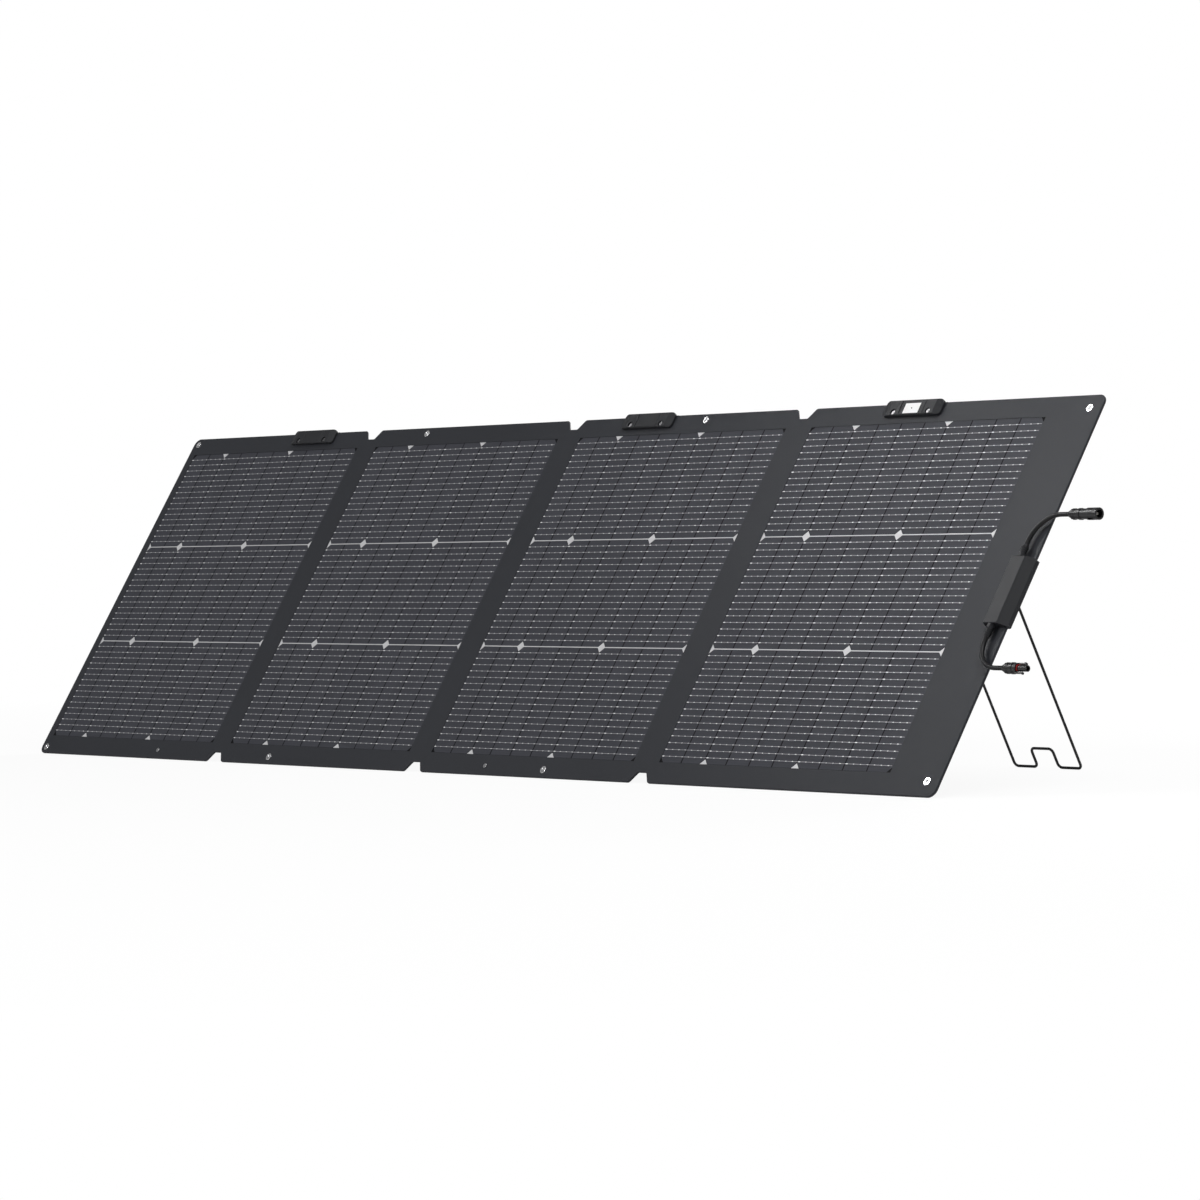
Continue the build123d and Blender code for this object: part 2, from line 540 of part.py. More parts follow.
def build():
    """Builds and writes every node."""
    for n in (1, 2, 3, 4):
        save(f"leaf_{n}_cover", cover(n))
        save(f"leaf_{n}_board", board(n))
        save(f"leaf_{n}_cells", cells(n))
        save(f"leaf_{n}_reflectors", reflectors(n))
        save(f"leaf_{n}_busbars", busbars(n))
        save(f"leaf_{n}_eyelets", [eyelet(x, y) for x, y in EYELETS[n - 1]])
    for k, pair in enumerate(("12", "23", "34")):
        save(f"hinge_strip_{pair}", hinge_strip(k))
        save(f"hinge_leads_{pair}", hinge_leads(k))
    for n in STAND_LEAVES:
        save(f"stand_cover_{n}", stand_cover(n))
        save(f"stand_bracket_{n}", stand_bracket(n))
        save(f"stand_screws_{n}", stand_screws(n))
        save(f"leg_{n}", leg(n))
        save(f"foot_clip_{n}", foot_clip(n))
    for n in (1, 3):
        save(f"clip_rivet_{n}", clip_rivet(n))
    save("sun_target", sun_target())
    save("junction_box_base", junction_box_base())
    save("junction_box_lid", junction_box_lid())
    save("terminal_board", terminal_board())
    save("bypass_diodes", bypass_diodes())
    save("cable_glands", [cable_gland(1), cable_gland(-1)])
    save("positive_cable", cable("socket"))
    save("negative_cable", cable("plug"))
    save("connector_nuts", [connector_nut("socket"), connector_nut("plug")])
    save("socket_body", socket_body())
    save("plug_body", plug_body())
    save("plug_seal", plug_seal())
    save("connector_contacts", [contact("socket"), contact("plug")])


build()
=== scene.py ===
"""Looks of the folding solar panel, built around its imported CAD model.

Pieces drawn here use the panel frame, in metres: x across, y up the slope from the lower edge,
z out of the front face. PANEL carries that frame onto the stood-up panel.
"""
import json
import math

import bmesh
import bpy
import numpy as np
from mathutils import Matrix, Vector
from mathutils.geometry import tessellate_polygon


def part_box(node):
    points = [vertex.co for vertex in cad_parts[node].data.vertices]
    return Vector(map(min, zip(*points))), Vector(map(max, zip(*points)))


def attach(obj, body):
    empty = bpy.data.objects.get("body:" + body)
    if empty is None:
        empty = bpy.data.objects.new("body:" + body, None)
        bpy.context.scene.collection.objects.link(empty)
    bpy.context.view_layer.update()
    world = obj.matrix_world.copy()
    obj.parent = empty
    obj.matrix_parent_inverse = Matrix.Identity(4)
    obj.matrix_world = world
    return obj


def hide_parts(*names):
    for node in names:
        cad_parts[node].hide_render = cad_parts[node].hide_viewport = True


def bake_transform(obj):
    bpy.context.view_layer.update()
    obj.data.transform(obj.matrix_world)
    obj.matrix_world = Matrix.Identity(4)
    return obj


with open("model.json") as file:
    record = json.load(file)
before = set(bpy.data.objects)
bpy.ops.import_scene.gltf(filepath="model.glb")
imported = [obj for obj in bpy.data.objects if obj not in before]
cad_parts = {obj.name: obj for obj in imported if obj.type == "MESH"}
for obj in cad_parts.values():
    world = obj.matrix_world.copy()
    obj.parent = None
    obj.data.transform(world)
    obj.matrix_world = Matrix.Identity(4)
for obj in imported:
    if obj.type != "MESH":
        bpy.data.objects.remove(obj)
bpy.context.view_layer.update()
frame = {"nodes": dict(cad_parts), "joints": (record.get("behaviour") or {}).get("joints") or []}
MM = 0.001
SAME_POINT = 0.002 * MM

# ---- the panel's frame, from the fold axis and the size of one leaf ----
JOINTS = {joint["name"]: joint for joint in frame["joints"]}
UP = Vector(JOINTS["fold_12"]["axis"]).normalized()
ACROSS = Vector((1, 0, 0))
FRONT = ACROSS.cross(UP)
LOW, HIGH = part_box("leaf_2_cover")
HEIGHT, THICK = np.linalg.solve([[UP.y, UP.z], [UP.z, UP.y]], [HIGH.y - LOW.y, HIGH.z - LOW.z])
AXES = Matrix((ACROSS, UP, FRONT)).transposed().to_4x4()
PANEL = Matrix.Translation((0, LOW.y, LOW.z + THICK * UP.y)) @ AXES
SLOPE = math.atan2(UP.z, UP.y)

# ---- outline ----
LEAVES = (1, 2, 3, 4)
FOLDS = ("12", "23", "34")
LEFT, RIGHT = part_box("leaf_1_cover")[0].x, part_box("leaf_4_cover")[1].x
FOLD_X = [JOINTS["fold_" + pair]["pos_m"][0] for pair in FOLDS]
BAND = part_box("leaf_2_cover")[0].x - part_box("leaf_1_cover")[1].x
NOTCH_DEPTH, NOTCH_FLOOR = 16.5 * MM, 19.0 * MM
CORNER_R, MOUTH_R, FLOOR_R = 13.0 * MM, 6.0 * MM, 3.0 * MM
ARC_STEPS = 10
BEYOND = 1.0                        # a seam this far past the panel's side cuts nothing off

# ---- cover: edge profile and skin ----
EDGE_R, EDGE_STEPS = 1.3 * MM, 5
EDGE_FLAT = 0.4 * MM                # flat rim inside the rounding, which keeps its shading off the face
SKIN = 0.5 * MM
WINDOW_RIM = 0.4 * MM
BARREL_R, BARREL_STEPS = 3.85 * MM, 32
BAND_COLUMNS, BAND_ROWS = 44, 6

# ---- solder pads on the wires: seven in every two strips, the first one large ----
STRIPS, ROWS, WIRES = 10, 3, 16
WIRE_PITCH = 10.82 * MM
PAD_PERIOD_STRIPS, PADS = 2, 7
FIRST_PAD = 3.6 * MM                # from the cells' left side
PAD_SIZES = {0: (5.4 * MM, 1.5 * MM), 6: (3.8 * MM, 1.3 * MM)}   # by place in the run
PAD_SMALL = (2.7 * MM, 1.1 * MM)
PAD_SIDES = 8
PAD_LEVELS = ((1.0, -0.04 * MM), (1.0, 0.02 * MM), (0.62, 0.12 * MM))   # (share of its size, height)

# ---- rounding of the moulded CAD pieces ----
MOULDED = ("black_plastic", "white_plastic", "connector")
BEVEL_W, BEVEL_STEPS, BEVEL_ANGLE = 0.35 * MM, 2, math.radians(50)

# ---- pin of the sun target: (height, radius) of its foot, rim and top ----
PIN_STEPS = ((-0.9 * MM, 0.95 * MM), (0.5 * MM, 0.95 * MM), (0.7 * MM, 0.75 * MM))


# ---------------------------------------------------------------- mesh tools
def panel_points(node):
    """A CAD node's points in the panel frame."""
    back = PANEL.inverted()
    return np.array([back @ v.co for v in frame["nodes"][node].data.vertices])


def panel_extent(node):
    """Lowest and highest corner of a CAD node in the panel frame."""
    points = panel_points(node)
    return points.min(0), points.max(0)


class Sheet:
    """Collects points and faces in the panel frame and turns them into one mesh."""

    def __init__(self):
        self.points, self.faces = [], []

    def add(self, x, y, z):
        """Adds a point and gives its number."""
        self.points.append((x, y, z))
        return len(self.points) - 1

    def bridge(self, first, second, closed=False):
        """Quads between two rows of points."""
        count = len(first)
        for i in range(count if closed else count - 1):
            j = (i + 1) % count
            self.faces.append((first[i], first[j], second[j], second[i]))

    def fill(self, *loops):
        """Flat face inside the first loop, with the other loops as holes."""
        flat = [i for loop in loops for i in loop]
        outlines = [[Vector((*self.points[i][:2], 0)) for i in loop] for loop in loops]
        for triangle in tessellate_polygon(outlines):
            self.faces.append(tuple(flat[i] for i in triangle))

    def circle(self, x, y, z, radius):
        """A round loop of points."""
        turns = [2 * math.pi * k / BARREL_STEPS for k in range(BARREL_STEPS)]
        return [self.add(x + radius * math.cos(t), y + radius * math.sin(t), z) for t in turns]

    def build(self, name, sharp_degrees=35.0):
        """The finished object, in the row frame."""
        mesh = bpy.data.meshes.new(name)
        mesh.from_pydata([PANEL @ Vector(p) for p in self.points], [], self.faces)
        clean_up(mesh)
        mesh.polygons.foreach_set("use_smooth", [True] * len(mesh.polygons))
        mesh.set_sharp_from_angle(angle=math.radians(sharp_degrees))
        piece = bpy.data.objects.new(name, mesh)
        bpy.context.scene.collection.objects.link(piece)
        return piece


def clean_up(mesh):
    """Joins doubled points and turns every face outwards."""
    work = bmesh.new()
    work.from_mesh(mesh)
    bmesh.ops.remove_doubles(work, verts=work.verts, dist=SAME_POINT)
    bmesh.ops.recalc_face_normals(work, faces=work.faces)
    work.to_mesh(mesh)
    work.free()


# ---------------------------------------------------------------- outline of the panel
def rounded(corners):
    """Closed outline with an arc at each (x, y, radius): points with their inward normal."""
    outline = []
    for i, (x, y, radius) in enumerate(corners):
        here = Vector((x, y))
        before = (here - Vector(corners[i - 1][:2])).normalized()
        after = (Vector(corners[(i + 1) % len(corners)][:2]) - here).normalized()
        turn = math.atan2(before.x * after.y - before.y * after.x, before.dot(after))
        side = math.copysign(1, turn)
        normal = Vector((-before.y, before.x))
        start = here - before * radius * math.tan(abs(turn) / 2)
        centre = start + normal * radius * side
        for k in range(ARC_STEPS + 1):
            inward = Matrix.Rotation(turn * k / ARC_STEPS, 2) @ normal
            point = centre - inward * radius * side
            outline.append((point.x, point.y, inward.x, inward.y))
    return outline


def panel_outline():
    """Outline of the whole open panel, with a tapered notch at both ends of each fold."""
    mouth, floor = BAND / 2, NOTCH_FLOOR / 2
    lower = [(LEFT, 0, CORNER_R)]
    for fold in FOLD_X:
        for dx, rise, radius in ((-mouth, 0, MOUTH_R), (-floor, NOTCH_DEPTH, FLOOR_R),
                                 (floor, NOTCH_DEPTH, FLOOR_R), (mouth, 0, MOUTH_R)):
            lower.append((fold + dx, rise, radius))
    lower.append((RIGHT, 0, CORNER_R))
    upper = [(x, HEIGHT - y, radius) for x, y, radius in reversed(lower)]
    return rounded(lower + upper)


def seam_point(a, b, seam):
    """Where the outline crosses a seam."""
    share = (seam - a[0]) / (b[0] - a[0])
    return (seam,) + tuple(a[k] + share * (b[k] - a[k]) for k in (1, 2, 3))


def clip(outline, x0, x1):
    """The stretches of the outline between two seams. Each ends exactly on the seams."""
    inside = [x0 < p[0] < x1 for p in outline]
    chains = []
    for i, starts in enumerate(inside):
        if not starts or inside[i - 1]:
            continue
        seam = x0 if outline[i - 1][0] <= x0 else x1
        chain = [seam_point(outline[i - 1], outline[i], seam)]
        j = i
        while inside[j]:
            chain.append(outline[j])
            j = (j + 1) % len(outline)
        seam = x0 if outline[j][0] <= x0 else x1
        chain.append(seam_point(outline[j - 1], outline[j], seam))
        chains.append(chain)
    return chains


def resample(chain, columns):
    """The chain at even steps across a band."""
    ordered = sorted(chain)
    xs = np.linspace(ordered[0][0], ordered[-1][0], columns + 1)
    values = [np.interp(xs, [p[0] for p in ordered], [p[k] for p in ordered]) for k in (1, 2, 3)]
    rows = [tuple(row) for row in zip(xs, *values)]
    return rows if chain[0][0] < chain[-1][0] else rows[::-1]


def edge_profile():
    """(distance in from the outline, height) from the front face round the edge to the back face."""
    turns = [math.pi / 2 * k / EDGE_STEPS for k in range(EDGE_STEPS + 1)]
    half = [(EDGE_R + EDGE_FLAT, 0)]
    half += [(EDGE_R * (1 - math.sin(t)), -EDGE_R * (1 - math.cos(t))) for t in turns]
    return half + [(d, -THICK - z) for d, z in reversed(half)]


def inset(point, distance, on_seam):
    """A point moved in from the outline. On a seam it slides along the seam."""
    x, y, nx, ny = point
    if on_seam:
        return x, y + distance / ny
    return x + nx * distance, y + ny * distance


def edge_rings(sheet, chain):
    """Rows of points along a chain, one for each step of the edge profile, bridged."""
    last = len(chain) - 1
    rings = []
    for distance, z in edge_profile():
        ring = [sheet.add(*inset(p, distance, i in (0, last)), z) for i, p in enumerate(chain)]
        rings.append(ring)
    for first, second in zip(rings, rings[1:]):
        sheet.bridge(first, second)
    return rings


def seam_caps(sheet, chains):
    """Closes the seam faces, each between one chain's end and the next chain's start."""
    for i, rings in enumerate(chains):
        following = chains[(i + 1) % len(chains)]
        end = [ring[-1] for ring in rings]
        start = [ring[0] for ring in following]
        sheet.faces.append(tuple(end + start[::-1]))


# ---------------------------------------------------------------- covers and bands
def inner_loop(sheet, chains, z):
    """Outline of the space inside a cover: one skin in from the edges and from the seams."""
    middle = sum(p[0] for chain in chains for p in chain) / sum(len(chain) for chain in chains)
    loop = []
    for chain in chains:
        for i, point in enumerate(chain):
            on_seam = i in (0, len(chain) - 1)
            x, y = inset(point, SKIN, on_seam)
            step = math.copysign(SKIN, middle - x) if on_seam else 0
            loop.append(sheet.add(x + step, y, z))
    return loop


def window_corners(leaf):
    """Corners of the opening over a leaf's cells."""
    low, high = panel_extent(f"leaf_{leaf}_cells")
    left, bottom = low[:2] - WINDOW_RIM
    right, top = high[:2] + WINDOW_RIM
    return (left, bottom), (right, bottom), (right, top), (left, top)


def eyelet_centres(leaf):
    """Centres of a leaf's two eyelets, upper and lower."""
    points = panel_points(f"leaf_{leaf}_eyelets")
    upper = points[:, 1] > HEIGHT / 2
    halves = (points[upper], points[~upper])
    return [(half.min(0) + half.max(0))[:2] / 2 for half in halves]


def leaf_shell(leaf, outline):
    """A leaf's cover: one skin round the front, the rounded edges and the back, open over the cells."""
    low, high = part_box(f"leaf_{leaf}_cover")
    x0 = LEFT - BEYOND if leaf == LEAVES[0] else low.x
    x1 = RIGHT + BEYOND if leaf == LEAVES[-1] else high.x
    chains = clip(outline, x0, x1)
    sheet = Sheet()
    rings = [edge_rings(sheet, chain) for chain in chains]
    seam_caps(sheet, rings)
    front = [i for ring in rings for i in ring[0]]
    back = [i for ring in rings for i in ring[-1]]
    window = {z: [sheet.add(x, y, z) for x, y in window_corners(leaf)] for z in (0, -SKIN)}
    levels = (0, -SKIN, SKIN - THICK, -THICK)
    holes = [{z: sheet.circle(x, y, z, BARREL_R) for z in levels} for x, y in eyelet_centres(leaf)]
    for hole in holes:
        sheet.bridge(hole[0], hole[-SKIN], closed=True)
        sheet.bridge(hole[SKIN - THICK], hole[-THICK], closed=True)
    upper, lower = (inner_loop(sheet, chains, z) for z in (-SKIN, SKIN - THICK))
    sheet.bridge(upper, lower, closed=True)
    sheet.bridge(window[0], window[-SKIN], closed=True)
    sheet.fill(front, window[0], *[hole[0] for hole in holes])
    sheet.fill(upper, window[-SKIN], *[hole[-SKIN] for hole in holes])
    sheet.fill(lower, *[hole[SKIN - THICK] for hole in holes])
    sheet.fill(back, *[hole[-THICK] for hole in holes])
    return sheet.build(f"leaf_{leaf}_shell")


def hinge_band(index, outline):
    """The flexible band across a fold, in narrow columns so that it bends smoothly."""
    x0, x1 = FOLD_X[index] - BAND / 2, FOLD_X[index] + BAND / 2
    chains = [resample(chain, BAND_COLUMNS) for chain in clip(outline, x0, x1)]
    sheet = Sheet()
    lower, upper = (edge_rings(sheet, chain) for chain in chains)
    front = band_face(sheet, lower[0], upper[0][::-1])
    back = band_face(sheet, lower[-1], upper[-1][::-1])
    for end in (0, -1):
        near = [ring[end] for ring in lower]
        far = [ring[-1 - end] for ring in upper]
        before = [row[end] for row in front[1:-1]]
        behind = [row[end] for row in back[1:-1]]
        sheet.faces.append(tuple(near + behind + far[::-1] + before[::-1]))
    return sheet.build("hinge_band_" + FOLDS[index])


def band_face(sheet, near, far):
    """One face of a band, in even rows of points from its lower end to its upper end."""
    rows = [near]
    for k in range(1, BAND_ROWS):
        ends = [(Vector(sheet.points[a]), Vector(sheet.points[b])) for a, b in zip(near, far)]
        rows.append([sheet.add(*a.lerp(b, k / BAND_ROWS)) for a, b in ends])
    rows.append(far)
    for first, second in zip(rows, rows[1:]):
        sheet.bridge(first, second)
    return rows


def solder_pads(leaf):
    """Low domes of solder along every wire of a leaf."""
    low, high = panel_extent(f"leaf_{leaf}_reflectors")
    top = panel_extent(f"leaf_{leaf}_busbars")[1][2]
    row_pitch = (high[1] - low[1]) / ROWS
    first = (row_pitch - (WIRES - 1) * WIRE_PITCH) / 2
    period = (high[0] - low[0]) / STRIPS * PAD_PERIOD_STRIPS
    count = STRIPS // PAD_PERIOD_STRIPS * PADS
    sheet = Sheet()
    for row in range(ROWS):
        for wire in range(WIRES):
            y = low[1] + row * row_pitch + first + wire * WIRE_PITCH
            for k in range(count):
                x = low[0] + FIRST_PAD + k * period / PADS
                add_dome(sheet, x, y, top, *PAD_SIZES.get(k % PADS, PAD_SMALL))
    return sheet.build(f"leaf_{leaf}_solder", sharp_degrees=80)


def add_dome(sheet, x, y, z, width, height):
    """One low closed dome, longer across than up."""
    turns = [2 * math.pi * k / PAD_SIDES for k in range(PAD_SIDES)]
    rings = []
    for share, level in PAD_LEVELS:
        half_w, half_h = share * width / 2, share * height / 2
        spots = [(x + half_w * math.cos(t), y + half_h * math.sin(t)) for t in turns]
        rings.append([sheet.add(*spot, z + level) for spot in spots])
    for first, second in zip(rings, rings[1:]):
        sheet.bridge(first, second, closed=True)
    sheet.faces.append(tuple(rings[0][::-1]))
    sheet.faces.append(tuple(rings[-1]))


# ---------------------------------------------------------------- materials
class Finish:
    """One procedural material: a base colour and roughness with layers of detail on top."""

    def __init__(self, name, colour, roughness, metallic=0.0, specular=0.5, coat=0.0):
        self.material = bpy.data.materials.new(name)
        self.material.use_nodes = True
        self.tree = self.material.node_tree
        self.shader = self.tree.nodes["Principled BSDF"]
        self.shader.inputs["Metallic"].default_value = metallic
        self.shader.inputs["Specular IOR Level"].default_value = specular
        self.shader.inputs["Coat Weight"].default_value = coat
        self.shader.inputs["Coat Roughness"].default_value = 0.25
        self.colour = self.value_node("ShaderNodeRGB", (*colour, 1))
        self.roughness = self.value_node("ShaderNodeValue", roughness)
        self.normal = None
        where = self.node("ShaderNodeTexCoord").outputs["Object"]
        turn = self.node("ShaderNodeMapping", Vector=where)
        turn.inputs["Rotation"].default_value = (-SLOPE, 0, 0)
        self.where = turn.outputs[0]
        self.axes = self.node("ShaderNodeSeparateXYZ", Vector=self.where).outputs

    def node(self, kind, **inputs):
        """Adds a node and links or sets its inputs by name."""
        made = self.tree.nodes.new(kind)
        for name, value in inputs.items():
            self.feed(made.inputs[name.replace("_", " ")], value)
        return made

    def feed(self, socket, value):
        """Links a socket, or sets its value."""
        if isinstance(value, bpy.types.NodeSocket):
            self.tree.links.new(value, socket)
        else:
            socket.default_value = value

    def value_node(self, kind, value):
        """A node that only holds a value."""
        made = self.tree.nodes.new(kind)
        made.outputs[0].default_value = value
        return made.outputs[0]

    def math(self, operation, *values):
        """Arithmetic on sockets and numbers."""
        made = self.tree.nodes.new("ShaderNodeMath")
        made.operation = operation
        for socket, value in zip(made.inputs, values):
            self.feed(socket, value)
        return made.outputs[0]

    def noise(self, size, detail=3.0, stretch=(1, 1, 1)):
        """Soft cloudy pattern with features of the given size in metres, 0 to 1."""
        spread = self.tree.nodes.new("ShaderNodeMapping")
        self.feed(spread.inputs["Vector"], self.where)
        spread.inputs["Scale"].default_value = stretch
        made = self.node("ShaderNodeTexNoise", Vector=spread.outputs[0], Scale=1 / size, Detail=detail)
        return made.outputs[0]

    def ripple(self, axis, pitch):
        """Even lines across an axis, -1 to 1."""
        return self.math("SINE", self.math("MULTIPLY", self.axes[axis], 2 * math.pi / pitch))

    def weave(self, pitch):
        """Plain weave of threads both ways, -1 to 1."""
        return self.math("MULTIPLY", self.ripple(0, pitch), self.ripple(1, pitch))

    def pebbles(self, size):
        """Small rounded cells, as on moulded grain."""
        return self.node("ShaderNodeTexVoronoi", Vector=self.where, Scale=1 / size).outputs["Distance"]

    def vary(self, source, amount, middle=0.5):
        """Makes the colour lighter and darker with a pattern."""
        shift = self.math("MULTIPLY", self.math("SUBTRACT", source, middle), amount)
        scale = self.math("ADD", shift, 1.0)
        made = self.tree.nodes.new("ShaderNodeVectorMath")
        made.operation = "SCALE"
        self.feed(made.inputs[0], self.colour)
        self.feed(made.inputs["Scale"], scale)
        self.colour = made.outputs[0]
        return self

    def blend_in(self, colour, mask):
        """Lays another colour over the base where the mask is 1."""
        made = self.tree.nodes.new("ShaderNodeMix")
        made.data_type = "RGBA"
        self.feed(made.inputs[0], mask)
        self.feed(made.inputs[6], self.colour)
        self.feed(made.inputs[7], (*colour, 1))
        self.colour = made.outputs[2]
        return self

    def roughen(self, source, amount, middle=0.5):
        """Makes the surface rougher and smoother with a pattern."""
        shift = self.math("MULTIPLY", self.math("SUBTRACT", source, middle), amount)
        self.roughness = self.math("ADD", self.roughness, shift)
        return self

    def emboss(self, source, depth, strength=1.0):
        """Raises the surface with a pattern, by depth in metres."""
        bump = self.node("ShaderNodeBump", Height=source, Strength=strength, Distance=depth)
        if self.normal:
            self.feed(bump.inputs["Normal"], self.normal)
        self.normal = bump.outputs[0]
        return self

    def done(self):
        """Connects the layers and gives the material."""
        self.feed(self.shader.inputs["Base Color"], self.colour)
        self.feed(self.shader.inputs["Roughness"], self.roughness)
        if self.normal:
            self.feed(self.shader.inputs["Normal"], self.normal)
        return self.material


def cover_finish():
    """Charcoal coated cloth: a fine weave under a matt film, with faint mottling."""
    look = Finish("cover_cloth", (0.0206, 0.0222, 0.0270), 0.48, specular=0.20)
    cloud, fine = look.noise(140 * MM, 4), look.noise(5 * MM, 3)
    look.vary(cloud, 0.22).vary(fine, 0.12).roughen(cloud, 0.10).roughen(fine, 0.08)
    look.vary(look.weave(1.1 * MM), 0.10, middle=0)
    look.emboss(look.weave(1.1 * MM), 0.02 * MM, 0.35)
    return look.emboss(look.noise(1.6 * MM, 2), 0.02 * MM, 0.25).done()


def board_finish():
    """Black woven board behind the cells."""
    look = Finish("black_board", (0.007, 0.007, 0.008), 0.8, specular=0.1)
    look.vary(look.weave(1.4 * MM), 0.25, middle=0).vary(look.noise(20 * MM), 0.3)
    return look.emboss(look.weave(1.4 * MM), 0.04 * MM, 0.4).done()


def cell_finish():
    """Dark silicon under a clear film: fine fingers, faint bands and a little difference between strips."""
    look = Finish("silicon_cells", (0.0420, 0.0435, 0.0520), 0.50, specular=0.10)
    strip = look.tree.nodes.new("ShaderNodeNewGeometry").outputs["Random Per Island"]
    look.vary(strip, 0.12)
    look.vary(look.ripple(1, WIRE_PITCH / 3), 0.05, middle=0)
    look.vary(look.ripple(0, 1.3 * MM), 0.07, middle=0)
    look.vary(look.noise(9 * MM, 3, (0.4, 1, 1)), 0.22)
    look.roughen(look.noise(60 * MM, 3), 0.12)
    return look.emboss(look.noise(2.5 * MM, 2), 0.02 * MM, 0.2).done()


def metal_finish(name, colour, roughness):
    """Metal with fine scratches and a slightly uneven shine."""
    look = Finish(name, colour, roughness, metallic=1.0)
    scratches = look.noise(1.5 * MM, 4)
    look.vary(scratches, 0.12).roughen(scratches, 0.18).vary(look.noise(12 * MM), 0.10)
    return look.emboss(scratches, 0.01 * MM, 0.2).done()


def wire_finish(name, colour):
    """Silvery solder or wire: mostly pale, the paleness partly its own colour and partly painted highlight,
    so that it reads bright from any side.
    """
    look = Finish(name, colour, 0.38, metallic=0.25)
    look.vary(look.noise(14 * MM, 3), 0.35).roughen(look.noise(1.2 * MM), 0.15)
    return look.emboss(look.noise(0.8 * MM), 0.02 * MM, 0.3).done()


def reflector_finish():
    """Pale silver tile with a faint hatch of pressed lines."""
    look = Finish("silver_tile", (0.54, 0.54, 0.55), 0.45, metallic=0.15)
    slanted = look.math("ADD", look.axes[0], look.axes[1])
    hatch = look.math("SINE", look.math("MULTIPLY", slanted, 2 * math.pi / (0.9 * MM)))
    look.vary(hatch, 0.10, middle=0).vary(look.noise(6 * MM), 0.16)
    return look.emboss(hatch, 0.01 * MM, 0.3).done()


def plastic_finish(name, colour, roughness=0.46, grain=0.7 * MM, depth=0.03 * MM, specular=0.5):
    """Moulded plastic with a fine spark-eroded grain, uneven sheen and dust."""
    look = Finish(name, colour, roughness, specular=specular)
    dust = look.noise(18 * MM, 5)
    look.vary(dust, 0.25).roughen(dust, 0.14).roughen(look.noise(2 * MM), 0.06)
    look.emboss(look.pebbles(grain), depth, 0.35)
    return look.emboss(look.noise(grain / 2, 2), depth / 2, 0.3).done()


def circuit_finish():
    """Green lacquered circuit board with copper tracks below the lacquer."""
    look = Finish("circuit_board", (0.012, 0.075, 0.035), 0.3, coat=0.4)
    track = look.math("GREATER_THAN", look.ripple(1, 9 * MM), 0.55)
    look.blend_in((0.03, 0.14, 0.06), track).vary(look.noise(4 * MM), 0.2)
    return look.emboss(track, 0.03 * MM, 0.5).done()


def rubber_finish(name, colour, roughness):
    """Soft extruded jacket or seal, with faint lengthwise drag lines."""
    look = Finish(name, colour, roughness, specular=0.25)
    look.vary(look.noise(6 * MM, 4), 0.25).roughen(look.noise(3 * MM), 0.15)
    return look.emboss(look.noise(0.6 * MM, 3), 0.03 * MM, 0.25).done()


def make_finishes():
    """The material of each of the record's slots."""
    cover = cover_finish()
    return {
        "skin": cover,
        "hinge_fabric": cover,
        "board": board_finish(),
        "cells": cell_finish(),
        "busbar": wire_finish("busbar_wire", (0.25, 0.25, 0.265)),
        # near-white solder colour: partly the solder's own, partly its glint painted in as a pale colour
        "solder": wire_finish("solder_pads", (0.86, 0.86, 0.87)),
        "reflector": reflector_finish(),
        "eyelet": metal_finish("polished_eyelet", (0.80, 0.80, 0.81), 0.18),
        "steel": metal_finish("screw_steel", (0.38, 0.38, 0.39), 0.30),
        "copper": metal_finish("tinned_copper", (0.34, 0.33, 0.31), 0.35),
        "wire": plastic_finish("powder_coat", (0.010, 0.010, 0.011), 0.50, 0.5 * MM, 0.01 * MM, 0.3),
        "black_plastic": plastic_finish("moulded_plastic", (0.0145, 0.0153, 0.0178), specular=0.25),
        "white_plastic": plastic_finish("white_plastic", (0.78, 0.78, 0.78), 0.4),
        "connector": plastic_finish("connector_plastic", (0.008, 0.008, 0.009), 0.34, 0.5 * MM),
        "circuit": circuit_finish(),
        "cable": rubber_finish("cable_jacket", (0.007, 0.007, 0.008), 0.40),
        "seal": rubber_finish("red_seal", (0.24, 0.014, 0.014), 0.4),
    }


def dress_nodes(finishes):
    """Gives each CAD node its slot's material, and rounds the edges of the moulded ones."""
    for name, node in frame["nodes"].items():
        slot = node.material_slots[0]
        kind = slot.material.name.split(".")[0]
        slot.material = finishes[kind]
        if kind in MOULDED:
            bevel = node.modifiers.new("edges", "BEVEL")
            bevel.width, bevel.segments = BEVEL_W, BEVEL_STEPS
            bevel.limit_method, bevel.angle_limit = "ANGLE", BEVEL_ANGLE
            bevel.harden_normals = True


# ---------------------------------------------------------------- pieces
def finish_piece(piece, material):
    """Gives a drawn piece its material."""
    piece.data.materials.append(material)
    return piece


def add_leaves(finishes, outline):
    """Covers and solder of the four leaves."""
    for leaf in LEAVES:
        shell = finish_piece(leaf_shell(leaf, outline), finishes["skin"])
        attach(shell, f"leaf_{leaf}")
        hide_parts(f"leaf_{leaf}_cover")
        solder = finish_piece(solder_pads(leaf), finishes["solder"])
        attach(solder, f"leaf_{leaf}")


def add_target_pin(finishes):
    """Short dark pin in the middle of the sun target."""
    low, high = panel_extent("sun_target")
    x, y = (low[:2] + high[:2]) / 2
    sheet = Sheet()
    foot, rim, top = (sheet.circle(x, y, high[2] + rise, radius) for rise, radius in PIN_STEPS)
    sheet.bridge(foot, rim, closed=True)
    sheet.bridge(rim, top, closed=True)
    sheet.faces += [tuple(foot[::-1]), tuple(top)]
    pin = finish_piece(sheet.build("target_pin"), finishes["black_plastic"])
    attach(pin, "leaf_4")


def add_bands(finishes, outline):
    """Flexible bands across the folds, between the leaves on their two sides."""
    for index, pair in enumerate(FOLDS):
        band = finish_piece(hinge_band(index, outline), finishes["hinge_fabric"])
        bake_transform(band)
        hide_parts("hinge_strip_" + pair, "hinge_leads_" + pair)


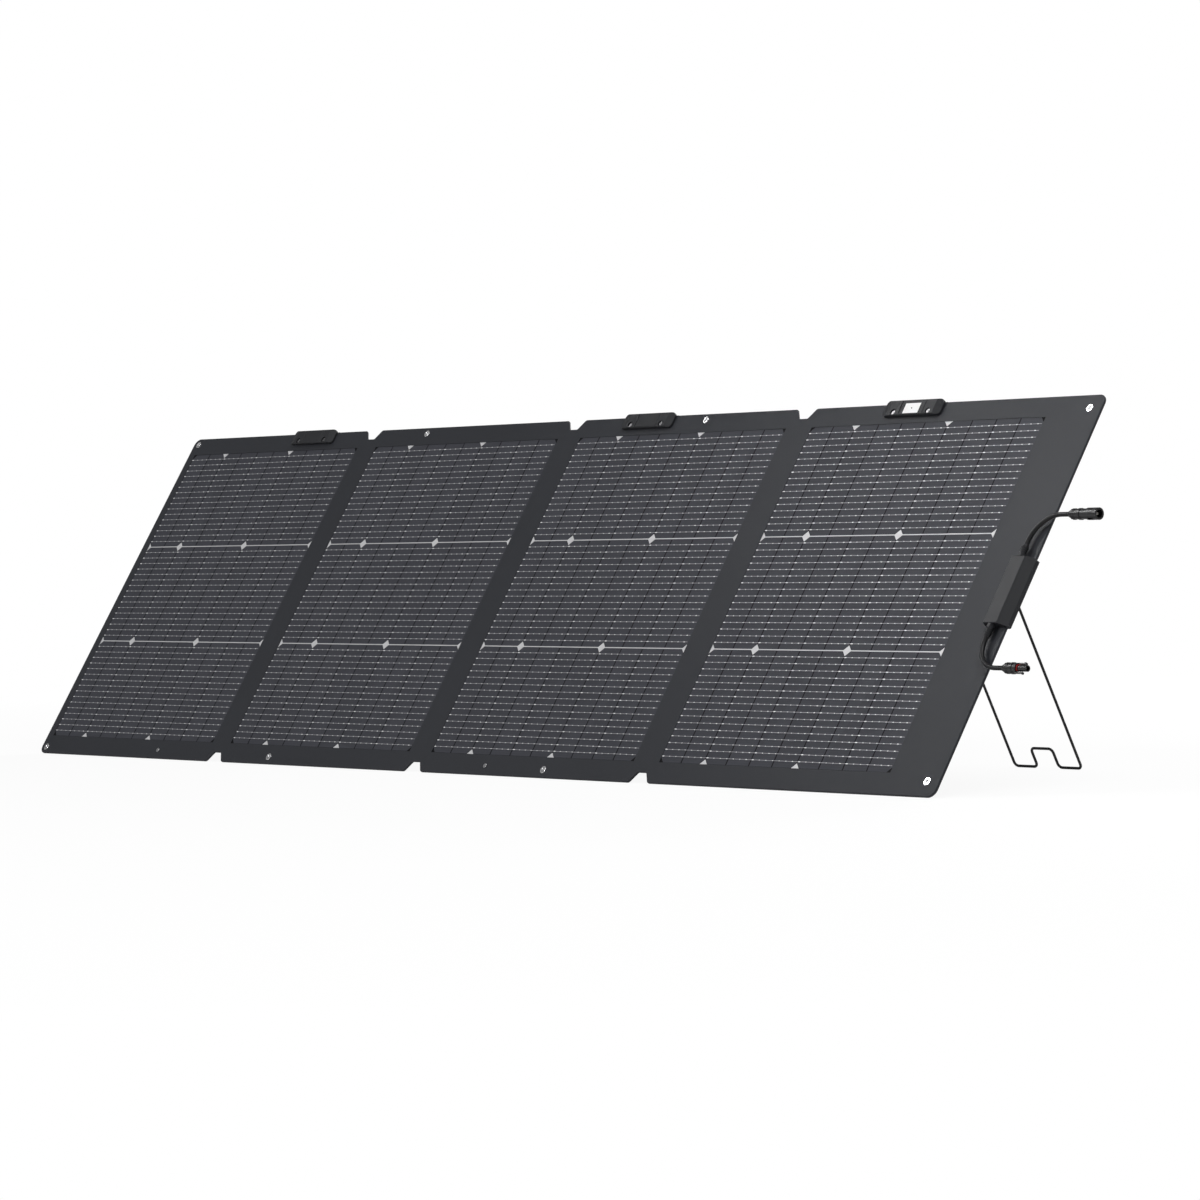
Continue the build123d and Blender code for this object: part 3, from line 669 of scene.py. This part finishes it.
# ---------------------------------------------------------------- studio
AZIMUTH, ELEVATION, ROLL = 51.95, 0.97, -1.226
LOOK_AT, DISTANCE = Vector((0, 0.0094, 0.2491)), 6.961
LENS, SENSOR = 137.87, 36.0
FLOOR_FADE, FLOOR_GLOW = (1.3, 3.5), 0.9
WORLD_LIGHT = 0.28
LIGHTS = (                          # name, place, target, size, power, spread in degrees
    ("key", (-2.2, -4.6, 3.4), (1.3, 0, 0.30), 1.4, 125, 180),
    ("top", (2.6, -0.4, 4.2), (0.6, 0, 0.25), 2.6, 125, 180),
    ("sheen", (-2.6, -1.7, 3.3), (1.75, 0.12, 0.50), 1.0, 1.3, 20),
    ("back", (-1.2, 4.6, 1.6), (0, 0.1, 0.25), 2.6, 170, 180),
)


def add_camera():
    """Camera at the photograph's viewing angle."""
    data = bpy.data.cameras.new("camera")
    data.lens, data.sensor_width = LENS, SENSOR
    camera = bpy.data.objects.new("camera", data)
    turn = (Matrix.Rotation(math.radians(AZIMUTH), 4, "Z")
            @ Matrix.Rotation(math.radians(90 - ELEVATION), 4, "X")
            @ Matrix.Rotation(math.radians(ROLL), 4, "Z"))
    back = turn.to_3x3() @ Vector((0, 0, 1))
    camera.matrix_world = Matrix.Translation(LOOK_AT + back * DISTANCE) @ turn
    bpy.context.scene.collection.objects.link(camera)
    bpy.context.scene.camera = camera


def add_area_light(name, place, target, size, power, spread):
    """A square softbox that faces a point. A narrow spread keeps its light near that point."""
    data = bpy.data.lights.new(name, "AREA")
    data.shape, data.size, data.energy = "SQUARE", size, power
    data.spread = math.radians(spread)
    lamp = bpy.data.objects.new(name, data)
    turn = (Vector(target) - Vector(place)).to_track_quat("-Z", "Y").to_matrix().to_4x4()
    lamp.matrix_world = Matrix.Translation(place) @ turn
    bpy.context.scene.collection.objects.link(lamp)


def add_world(light, backdrop):
    """Even soft light from all round, with a white backdrop for the camera."""
    world = bpy.data.worlds.new("studio")
    bpy.context.scene.world = world
    world.use_nodes = True
    nodes, links = world.node_tree.nodes, world.node_tree.links
    nodes.clear()
    output, mix = nodes.new("ShaderNodeOutputWorld"), nodes.new("ShaderNodeMixShader")
    links.new(nodes.new("ShaderNodeLightPath").outputs["Is Camera Ray"], mix.inputs[0])
    for socket, strength in ((1, light), (2, backdrop)):
        shade = nodes.new("ShaderNodeBackground")
        shade.inputs["Color"].default_value = (1, 1, 1, 1)
        shade.inputs["Strength"].default_value = strength
        links.new(shade.outputs[0], mix.inputs[socket])
    links.new(mix.outputs[0], output.inputs[0])


def add_floor():
    """Wide pale floor. It takes soft shadows near the object and fades into the white backdrop."""
    bpy.ops.mesh.primitive_plane_add(size=60)
    floor = bpy.context.object
    floor.name = "floor"
    look = Finish("pale_floor", (0.86, 0.86, 0.86), 0.8, specular=0.1)
    look.vary(look.noise(0.8, 3), 0.02)
    material = look.done()
    glow = look.node("ShaderNodeEmission")
    spread = look.tree.nodes.new("ShaderNodeVectorMath")
    spread.operation = "LENGTH"
    look.feed(spread.inputs[0], look.node("ShaderNodeTexCoord").outputs["Object"])
    fade = look.node("ShaderNodeMapRange", Value=spread.outputs["Value"], From_Min=FLOOR_FADE[0],
                     From_Max=FLOOR_FADE[1], To_Min=FLOOR_GLOW)
    seen = look.math("MULTIPLY", fade.outputs[0], look.node("ShaderNodeLightPath").outputs["Is Camera Ray"])
    mix = look.node("ShaderNodeMixShader", Fac=seen)
    look.feed(mix.inputs[1], look.shader.outputs[0])
    look.feed(mix.inputs[2], glow.outputs[0])
    look.feed(look.tree.nodes["Material Output"].inputs[0], mix.outputs[0])
    floor.data.materials.append(material)


def add_studio():
    """Camera, floor and plain soft light."""
    add_camera()
    add_floor()
    add_world(WORLD_LIGHT, 1.0)
    for light in LIGHTS:
        add_area_light(*light)
    bpy.context.scene.view_settings.view_transform = "Standard"


def build():
    """Builds every piece and the studio."""
    finishes = make_finishes()
    dress_nodes(finishes)
    outline = panel_outline()
    add_leaves(finishes, outline)
    add_bands(finishes, outline)
    add_target_pin(finishes)
    add_studio()


build()
